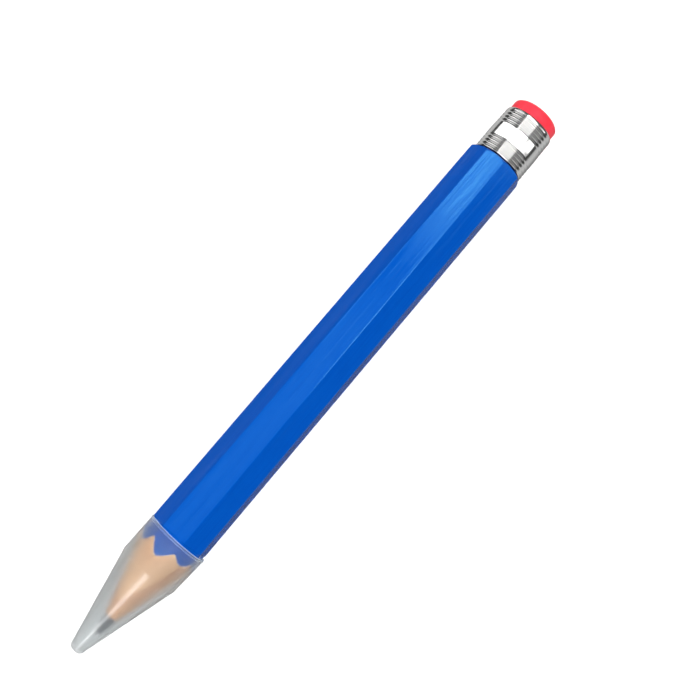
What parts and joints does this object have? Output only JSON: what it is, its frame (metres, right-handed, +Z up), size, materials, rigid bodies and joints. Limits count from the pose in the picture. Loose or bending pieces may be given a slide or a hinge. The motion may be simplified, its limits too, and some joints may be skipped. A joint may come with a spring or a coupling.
{
  "type": "giant wooden pencil",
  "caption": "Giant octagonal wooden pencil in blue lacquer, with a graphite core, ribbed aluminium ferrule, red eraser and a frosted push-on cap over its sharpened point.",
  "frame": {"origin": "on the surface that the pencil lies on, under the middle of its length", "axes": "+X runs along the pencil from the capped point to the eraser, +Z is up with the pencil lying on a flat of its octagon, +Y completes a right-handed frame"},
  "size_m": [0.35, 0.0337, 0.0334],
  "materials": {
    "lacquered_wood": "blue gloss lacquer over wood, bare basswood on the sharpened cone",
    "graphite": "dark grey graphite and clay, satin",
    "aluminium": "bright rolled sheet with two bands of ribs",
    "eraser_rubber": "matt red-pink, fine grained",
    "frosted_plastic": "thin frosted translucent polyethylene, satin"
  },
  "bodies": {
    "pencil": {"upper_casing_half": "lacquered_wood", "lower_casing_half": "lacquered_wood", "lead_core": "graphite", "ferrule": "aluminium", "eraser": "eraser_rubber"},
    "cap": {"point_cap": "frosted_plastic"}
  },
  "joints": [
    {"name": "cap_pull", "type": "slide", "parent": "pencil", "child": "cap", "axis": [-1, 0, 0], "range_m": [0, 0.08]}
  ]
}
